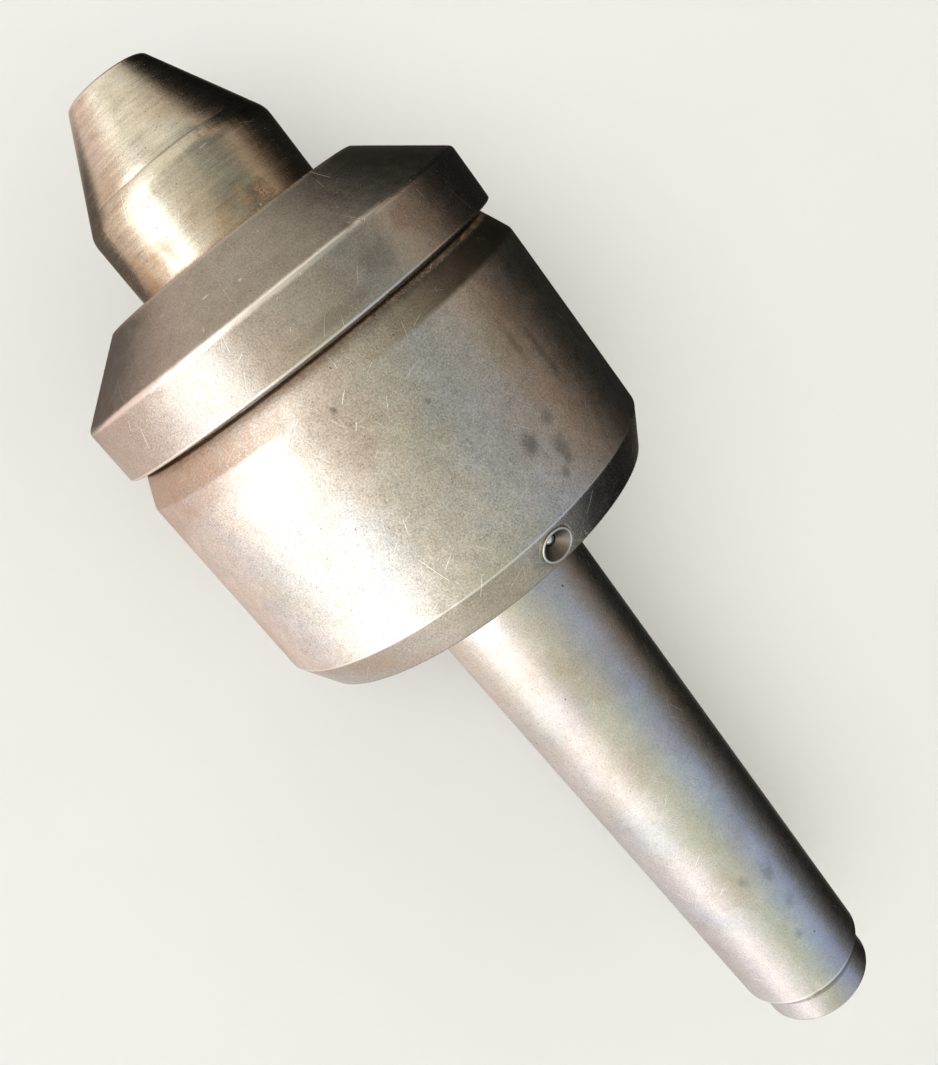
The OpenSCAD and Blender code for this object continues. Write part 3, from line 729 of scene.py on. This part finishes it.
def build_spring(material):
    """The oiler's spring: a round wire along a helix, which flattens toward the cup's floor.

    With a the angle along the helix and b the angle round the wire, the place is
    ((R + w cos b) cos a, (R + w cos b) sin a, rise(a) + w sin b), and w shrinks at the wire's ends,
    which close in a point.
    """
    turns, coil_r, wire_r, low, high = 3.5, 0.95, 0.15, -5.73, -3.72
    rows, sides = 190, 14
    t = np.linspace(0, 1, rows)
    width = wire_r * np.sqrt(1 - np.abs(2 * t - 1) ** 60)
    a, b = np.meshgrid(2 * math.pi * turns * t, np.arange(sides) * 2 * math.pi / sides, indexing="ij")
    out = coil_r + width[:, None] * np.cos(b)
    up = (low + (high - low) * t)[:, None] + width[:, None] * np.sin(b)
    points = np.stack([out * np.cos(a), out * np.sin(a), up], -1).reshape(-1, 3)
    quads = grid_faces(rows, sides, False)
    last = len(points) - sides
    quads = np.where(quads < sides, 0, np.where(quads >= last, last, quads))
    spring = solid("oiler_wire_spring", at_oiler(points), quads, material, "housing_body",
                   "oiler_spring")
    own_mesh(spring)
    return spring


# ---- Camera, light and floor ----

CAMERA_PLACE = Vector((-0.0650, -0.05265, 0.18878))
CAMERA_RIGHT = Vector((0.6000, 0.7071, 0.3742))
CAMERA_AHEAD = Vector((0.2699, 0.2614, -0.9267))
CAMERA_LENS = 44.01


def make_camera():
    """A camera at CAMERA_PLACE that looks along CAMERA_AHEAD, with CAMERA_RIGHT to its right."""
    data = bpy.data.cameras.new("camera")
    data.sensor_fit = "HORIZONTAL"
    data.sensor_width = 36
    data.lens = CAMERA_LENS
    data.clip_start, data.clip_end = 0.005, 50
    camera = placed("camera", data)
    back = -CAMERA_AHEAD.normalized()
    right = CAMERA_RIGHT.normalized()
    up = back.cross(right).normalized()
    right = up.cross(back)
    camera.matrix_world = Matrix.Translation(CAMERA_PLACE) @ Matrix(
        ((right.x, up.x, back.x), (right.y, up.y, back.y), (right.z, up.z, back.z))).to_4x4()
    bpy.context.scene.camera = camera


BRIGHTEST = 3.2                   # the world's strength; every level is given as a share of it
MIDDLE_LEVELS = (
    (-180, (0.80, 0.68, 0.58)), (-160, (0.27, 0.23, 0.19)), (-143, (0.018, 0.018, 0.015)),
    (-105, (0.013, 0.014, 0.012)), (-88, (0.045, 0.040, 0.032)), (-68, (0.43, 0.31, 0.24)),
    (-55, (0.47, 0.42, 0.35)), (-38, (0.53, 0.52, 0.48)), (-18, (0.55, 0.55, 0.49)),
    (5, (0.73, 0.68, 0.55)), (28, (1.07, 0.97, 0.80)), (47, (1.42, 1.30, 1.15)),
    (57, (2.9, 2.85, 2.8)), (97, (3.1, 3.1, 3.1)), (112, (1.75, 1.56, 1.45)),
    (135, (1.40, 1.17, 1.06)), (160, (1.04, 0.86, 0.76)), (180, (0.74, 0.63, 0.54)))
SHANK_LEVELS = (
    (-180, (0.7, 0.66, 0.66)), (-150, (0.25, 0.24, 0.22)), (-130, (0.02, 0.02, 0.018)),
    (-95, (0.015, 0.017, 0.015)), (-74, (0.09, 0.10, 0.10)), (-56, (0.26, 0.28, 0.32)),
    (-42, (0.50, 0.62, 0.95)), (-17, (0.64, 0.77, 0.98)), (8, (0.85, 0.94, 0.84)),
    (33, (1.03, 1.08, 0.95)), (57, (1.45, 1.45, 1.45)), (80, (2.0, 1.93, 2.0)),
    (110, (1.2, 1.15, 1.25)), (134, (1.0, 0.95, 0.96)), (158, (0.86, 0.82, 0.84)),
    (180, (0.7, 0.66, 0.66)))
FRONT_LEVELS = (
    (-180, (0.70, 0.58, 0.49)), (-160, (0.24, 0.20, 0.17)), (-143, (0.018, 0.018, 0.015)),
    (-105, (0.013, 0.014, 0.012)), (-88, (0.026, 0.024, 0.020)), (-74, (0.10, 0.075, 0.060)),
    (-63, (0.42, 0.32, 0.25)), (-52, (0.78, 0.64, 0.50)), (-43, (0.50, 0.46, 0.39)),
    (-34, (0.41, 0.41, 0.37)), (-16, (0.42, 0.42, 0.37)), (4, (0.76, 0.71, 0.58)),
    (28, (1.02, 0.93, 0.79)), (46, (1.32, 1.22, 1.08)), (57, (2.8, 2.75, 2.7)),
    (82, (2.8, 2.75, 2.7)), (94, (1.65, 1.33, 1.20)), (108, (1.25, 0.98, 0.86)),
    (135, (1.10, 0.86, 0.76)), (160, (0.88, 0.71, 0.62)), (180, (0.70, 0.58, 0.49)))
NOSE_END_LEVELS = (0.36, 0.31, 0.25), (1.36, 1.26, 1.08)
STUB_END_LEVEL = (0.7, 0.7, 0.68)


def share(level):
    """A level as a share of the brightest."""
    return tuple(c / BRIGHTEST for c in level)


def level_ramp(f, part, stops):
    """A colour ramp over the turn round X from (degrees, level) stops."""
    ramp = f.tree.nodes.new("ShaderNodeValToRGB")
    f.tree.links.new(part, ramp.inputs[0])
    elements = ramp.color_ramp.elements
    elements[0].position, elements[1].position = 0.0, 1.0
    for degrees, level in stops:
        place = (degrees + 180) / 360
        element = elements[0] if place == 0 else elements[-1] if place == 1 else elements.new(place)
        element.color = (*share(level), 1)
    return ramp.outputs[0]


def make_world():
    """A soft studio: bright on the -Y side, grey overhead, dark on the +Y side.

    The level is a ramp over the angle round X from overhead toward -Y. Three ramps blend into each
    other by the direction's X part: the front one under 0.03, the middle one from 0.13 to 0.22 and
    the cooler shank one over 0.62. Directions close to +X have one level, and those close to -X
    a level that rises from below to above. A soft shadow lies on the +Y side toward -X.
    """
    world = bpy.data.worlds.new("studio")
    bpy.context.scene.world = world
    world.use_nodes = True
    f = Finish(world.node_tree)
    x, y, z = f.parts(f.add("ShaderNodeTexCoord"))
    turn = f.calc("ARCTAN2", f.calc("MULTIPLY", y, -1.0), z)
    part = f.calc("ADD", f.times(turn, 1 / (2 * math.pi)), 0.5)
    middle = level_ramp(f, part, MIDDLE_LEVELS)
    shank_end = level_ramp(f, part, SHANK_LEVELS)
    front_end = level_ramp(f, part, FRONT_LEVELS)
    middle = f.mix(f.span(x, 0.13, 0.03), middle, front_end)
    level = f.mix(f.span(x, 0.22, 0.62), middle, shank_end)
    nose_end = f.mix(f.span(f.plus(z, f.times(y, -0.8)), -0.7, 0.3, kind="LINEAR"),
                     *(share(end) for end in NOSE_END_LEVELS))
    level = f.mix(f.span(x, -0.76, -0.95), level, nose_end)
    shadow = f.times(f.span(x, -0.06, -0.25), f.span(x, -0.62, -0.5), f.span(y, 0.35, 0.65), 0.45)
    level = f.mix(shadow, level, (0.0, 0.0, 0.0))
    level = f.mix(f.span(x, 0.86, 0.99), level, share(STUB_END_LEVEL))
    shader = f.add("ShaderNodeBackground", {0: level, 1: BRIGHTEST})
    f.add("ShaderNodeOutputWorld", {0: shader})


def make_light():
    """One large soft box over the -Y side, for the floor and its shadow."""
    data = bpy.data.lights.new("soft_box", "AREA")
    data.shape, data.size = "DISK", 1.3
    data.energy = 13
    data.color = (0.95, 0.98, 1.0)
    lamp = placed("soft_box", data)
    place = Vector((-0.45, -0.75, 1.25))
    lamp.matrix_world = Matrix.Translation(place) @ place.to_track_quat("Z", "Y").to_matrix().to_4x4()
    lamp.visible_glossy = False


CARD_CENTRE = (-0.097, -0.039)
CARD_HALF = (0.042, 0.035)
CARD_CELLS = 8
FLOOR_COLUMNS = 96


def make_shade():
    """A dark card lying beside the nose that only reflections see, with soft edges: painted shade that the
    nose's low side reflects.
    """
    across = np.linspace(-1, 1, CARD_CELLS + 1)
    grid = np.stack(np.meshgrid(*(middle + half * across for middle, half in zip(CARD_CENTRE, CARD_HALF)),
                                indexing="ij"), -1)
    above_floor = 0.0004
    points = np.dstack([grid, np.full(grid.shape[:2], cad_box[0].z + above_floor)]).reshape(-1, 3)
    row = CARD_CELLS + 1
    i = np.arange(CARD_CELLS)[:, None] * row + np.arange(CARD_CELLS)
    quads = np.stack([i, i + row, i + row + 1, i + 1], -1).reshape(-1, 4)
    mesh = bpy.data.meshes.new("shade_card")
    mesh.from_pydata(points.tolist(), [], quads.tolist())
    card = placed("shade_card", mesh)
    material, f = new_finish("painted_shade_card_finish")
    place = f.parts(f.add("ShaderNodeTexCoord", out=OBJECT_PLACE))
    dx, dy = (f.times(f.calc("SUBTRACT", place[k], CARD_CENTRE[k]), 1 / CARD_HALF[k]) for k in (0, 1))
    far = f.calc("SQRT", f.plus(f.times(dx, dx), f.times(dy, dy)))
    clear = f.add("ShaderNodeBsdfTransparent")
    dark = f.add("ShaderNodeBsdfDiffuse", {0: (0.03, 0.028, 0.025, 1)})
    f.surface(f.add("ShaderNodeMixShader", {0: f.span(far, 1.0, 0.55, 0.0, 0.82), 1: clear, 2: dark}))
    mesh.materials.append(material)
    for way in ("camera", "diffuse", "shadow", "transmission", "volume_scatter"):
        setattr(card, "visible_" + way, False)


def make_floor():
    """A seamless pale floor that curves up into a wall far away, left out of reflections.

    It is turned about Z from a profile: flat rings to 2.5 m, a quarter circle of 0.8 m, and a wall.
    """
    low = cad_box[0].z - 0.0002
    flat_rings, flat_r, bend_r, wall_height = 16, 2.5, 0.8, 3.5
    bend = np.linspace(0, math.pi / 2, 24)
    out = np.concatenate([[0.02], np.geomspace(0.1, 2.4, flat_rings), flat_r + bend_r * np.sin(bend),
                          [flat_r + bend_r]])
    up = np.concatenate([np.zeros(flat_rings + 1), bend_r - bend_r * np.cos(bend), [wall_height]])
    angle = np.arange(FLOOR_COLUMNS) * 2 * math.pi / FLOOR_COLUMNS
    grid = np.stack([out[:, None] * np.cos(angle), out[:, None] * np.sin(angle),
                     np.broadcast_to(up[:, None], (len(up), FLOOR_COLUMNS)) + low], -1).reshape(-1, 3)
    mesh = bpy.data.meshes.new("floor")
    faces = grid_faces(len(out), FLOOR_COLUMNS, False).tolist() + [list(range(FLOOR_COLUMNS))]
    mesh.from_pydata(grid.tolist(), [], faces)
    mesh.shade_smooth()
    floor = placed("floor", mesh)
    material, f = new_finish("pale_floor")
    cloud = f.noise(f.add("ShaderNodeTexCoord", out=OBJECT_PLACE), 9.0, 3.0, 0.5)
    colour = f.mix(cloud, (0.84, 0.84, 0.83), (0.88, 0.88, 0.87))
    f.surface(f.add("ShaderNodeBsdfPrincipled", {"Base Color": colour, "Roughness": 0.85,
                    "Specular IOR Level": 0.1}))
    mesh.materials.append(material)
    floor.visible_glossy = False


# ---- Finishes ----

# Scratches: (cell, tilt, spread, width, share, seed) each, in mm and radians
GROUND = ((8.0, 0.06, 0.25, 0.075, 0.5, 6), (5.0, 0.5, 1.0, 0.08, 0.6, 1), (3.2, 1.9, 1.3, 0.07, 0.55, 2),
          (9.0, 1.1, 0.7, 0.09, 0.45, 3), (2.4, 0.2, 2.8, 0.06, 0.45, 4), (6.5, 2.5, 0.8, 0.08, 0.45, 5))
RUBBED = ((4.0, 0.25, 0.8, 0.075, 0.55, 11), (2.6, 0.9, 1.2, 0.055, 0.5, 12),
          (7.0, -0.4, 0.5, 0.08, 0.35, 13))
LIGHTLY = ((7.0, 0.7, 0.9, 0.07, 0.35, 21), (4.0, 2.2, 1.4, 0.055, 0.3, 22),
           (3.0, 1.5, 0.3, 0.05, 0.4, 23))

# Patches, in the same columns as the housing's
CAP_RUST = ((-60.7, -18, 2.6, 5, 0.45, 0.5), (-57.9, -24, 2.2, 8, 0.45, 0.45), (-58, -160, 4, 20, 0.45, 0.6))
CAP_SMUDGES = ((-58.7, -7, 3.6, 7, 0.45, 0.35), (-56.0, 8, 1.6, 14, 0.45, 0.3))
CAP_NICKS = (
    (-68.7, -15, 0.22, 1.6, 0.6, 0.8), (-67, -10, 0.3, 0.7, 0.6, 0.8), (-64.4, -7, 0.5, 0.5, 0.6, 0.8),
    (-67.5, 20, 0.3, 0.8, 0.6, 0.8), (-68.6, 30, 0.18, 2.0, 0.6, 0.8), (-70.4, 46, 0.16, 1.8, 0.6, 0.8),
    (-65.3, 33, 0.5, 0.35, 0.6, 0.8), (-71.2, 8, 0.3, 0.5, 0.6, 0.8), (-69.4, 110, 0.4, 1.0, 0.6, 0.8),
    (-66.6, -120, 0.3, 1.5, 0.6, 0.8))
NOSE_RUST = (
    (-76.2, 66, 4.4, 14, 0.6, 1.0), (-77.0, 54, 3.4, 9, 0.6, 0.85), (-77.5, 43, 3.4, 8, 0.6, 0.6),
    (-75.6, -12, 3.0, 9, 0.6, 0.95), (-76.5, -3, 3.2, 6, 0.6, 0.7), (-76.4, 12, 2.6, 8, 0.6, 0.5),
    (-80, -24, 4.5, 5, 0.6, 0.35), (-81, 5, 1.4, 4, 0.6, 0.4), (-78, 90, 3.0, 12, 0.6, 0.6),
    (-77, 170, 3.5, 30, 0.6, 0.6), (-76, -110, 3.0, 30, 0.6, 0.6))
NOSE_STAINS = (
    (-88.2, -7, 0.7, 2.2, 0.5, 0.4), (-87.1, -5, 0.5, 1.6, 0.5, 0.35), (-78, 6, 3.6, 11, 0.7, 0.4),
    (-76.0, -9, 3.0, 9, 0.6, 0.7))


def cap_zones(f):
    """Bright nicks, and a bright band at the rim's front edge that is rubbed wear and a painted highlight;
    brown grime and rust toward the gap behind the rim.
    """
    rust = f.most(f.times(f.near(CAP_REAR + 0.1, 0.9), f.span(f.turn, 5, 60, 0.25, 1.0)),
                  f.times(f.near(FACE - 0.2, 1.0), 0.45))
    # The band at the rim's front edge is rubbed wear, lightened further as a painted highlight line
    bright = f.most(f.times(f.near(RIM_FRONT + 0.15, 0.75, 0.9), 0.9),
                    f.times(f.near(CAP_REAR - 0.3, 0.3, 0.8), 0.7),
                    f.times(f.near(FACE + 0.2, 0.4, 0.6), 0.3))
    return (f.spots(rust, CAP_RUST), f.spots(0.0, CAP_SMUDGES), f.spots(bright, CAP_NICKS), 0.0,
            f.span(f.x, RIM_FRONT + 0.5, RIM_FRONT - 0.5, 0.0, 0.12))


def nose_zones(f):
    """Rust freckles at the nose's root, a brown line at the cap, pits on the point, a bright tip.

    Brown film lies on the top of the root. Painted shade in the same brown darkens the cone and the
    nose on the side toward -Y, from 46 to 178 degrees of turn.
    """
    rust = f.spots(f.times(f.near(FACE + 0.1, 1.1, 0.9), 0.8), NOSE_RUST)
    grime_and_shade = f.most(f.times(f.near(FACE + 0.2, 0.7, 0.4), 0.9), f.times(f.near(LINE, 0.25, 0.2), 0.35))
    bright = f.most(f.times(f.near(TIP + 0.1, 0.6, 0.3), 0.8),
                    f.times(f.spot(-74.3, -7, 0.22, 0.7, 0.2), 0.9))
    # Brown film on the root's top and a patch beside it; the second term, from 46 to 178 degrees of turn, is
    # painted shade on the cone and nose
    film = f.most(f.times(f.span(f.x, -92, -76), f.span(f.turn, 34, 8), f.span(f.turn, -40, -24), 0.7),
                  f.times(f.span(f.x, -94, -76), f.span(f.turn, 46, 70), f.span(f.turn, 178, 120), 0.7),
                  f.times(f.spot(-79, 20, 5, 14, 0.7), 0.6))
    return rust, f.spots(grime_and_shade, NOSE_STAINS), bright, film, 0.0


def oiler_zones(f):
    """Old oil dark in the dish and a rubbed rim, told apart by the distance from the cup's axis."""
    place = f.add("ShaderNodeVectorMath", {0: f.mm, 1: tuple(OILER_CENTRE)}, operation="SUBTRACT")
    x, y, z = f.parts(place)
    along = f.calc("SUBTRACT", f.times(x, math.cos(OILER_TILT)), f.times(z, math.sin(OILER_TILT)))
    up = f.plus(f.times(x, math.sin(OILER_TILT)), f.times(z, math.cos(OILER_TILT)))
    out = f.calc("SQRT", f.plus(f.times(along, along), f.times(y, y)))
    grime_and_shade = f.span(f.plus(out, f.times(f.rag, 0.4)), 3.15, 2.8)
    bright = f.times(f.span(up, 0.05, 0.27), f.span(out, 2.45, 2.75), 0.6)
    return 0.0, grime_and_shade, bright, 0.0, 0.0


def rubber_finish():
    """Matte nitrile with a fine grain and a little dust."""
    material, f = new_finish("nitrile_rubber")
    f.lathe_space()
    grain = f.noise(f.mm, 5.0, 4.0, 0.7)
    dust = f.noise(f.mm, 0.8, 3.0, 0.6)
    colour = f.mix(f.span(dust, 0.5, 0.75), (0.022, 0.022, 0.024), (0.06, 0.055, 0.05))
    rough = f.span(grain, 0.3, 0.7, 0.5, 0.7)
    normal = f.add("ShaderNodeBump", {"Strength": 0.5, "Distance": 0.0001, "Height": grain})
    f.surface(f.add("ShaderNodeBsdfPrincipled", {"Base Color": colour, "Roughness": rough, "Normal": normal}))
    return material


finishes = {
    "housing_steel": steel("worn_housing_steel", (0.56, 0.53, 0.485), 0.25, housing_zones,
                           marks=(4.0, 0.10), pits=0.35, specks=0.4, patina=0.45, grain=1.8,
                           calm=(-14, -2, 0.6), scratches=GROUND),
    "cap_steel": steel("matt_cap_steel", (0.44, 0.41, 0.37), 0.24, cap_zones, marks=(4.5, 0.2),
                       pits=0.3, specks=0.4, patina=0.35, grain=1.3, scratches=RUBBED,
                       tints=((0.36, 0.35, 0.28), (0.37, 0.39, 0.41), (0.38, 0.31, 0.26))),
    "nose_steel": steel("ground_nose_steel", (0.55, 0.52, 0.45), 0.21, nose_zones, marks=(1.7, 1.15),
                        pits=0.25, specks=0.25, patina=0.4, grain=1.0, scratches=LIGHTLY,
                        tints=((0.45, 0.43, 0.30), (0.43, 0.42, 0.36), (0.47, 0.37, 0.26))),
    "oiler_steel": steel("oiler_brassy_steel", (0.56, 0.52, 0.42), 0.28, oiler_zones, pits=0.2),
    "bearing_steel": steel("bearing_ring_steel", (0.62, 0.63, 0.65), 0.2, no_zones, marks=(6.0, 0.2),
                           pits=0.05, specks=0.0, patina=0.1, grain=0.15),
    "ball_steel": steel("lapped_ball_steel", (0.7, 0.71, 0.73), 0.14, no_zones, pits=0.0, specks=0.1,
                        patina=0.15, grain=0.1),
    "pressed_steel": steel("pressed_sheet_steel", (0.52, 0.52, 0.52), 0.34, no_zones, marks=(3.0, 0.1),
                           pits=0.1, patina=0.25, grain=0.3),
    "cage_brass": steel("cage_turned_brass", (0.68, 0.49, 0.22), 0.28, no_zones, marks=(5.0, 0.2),
                        pits=0.05, patina=0.4, grain=0.25,
                        tints=((0.42, 0.28, 0.11), (0.60, 0.46, 0.24), (0.52, 0.31, 0.13))),
    "spring_steel": steel("oiled_spring_wire", (0.36, 0.37, 0.39), 0.3, no_zones, pits=0.1, patina=0.3,
                          grain=0.3),
    "rubber": rubber_finish(),
}
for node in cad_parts.values():
    for index, material in enumerate(node.data.materials):
        node.data.materials[index] = finishes[material.name.split(".")[0]]

build_housing(finishes["housing_steel"])
build_cap(finishes["cap_steel"])
build_nose(finishes["nose_steel"])
build_oiler(finishes["oiler_steel"])
build_spring(finishes["spring_steel"])
make_camera()
make_world()
make_light()
make_floor()
make_shade()
bpy.context.scene.view_settings.view_transform = "Standard"
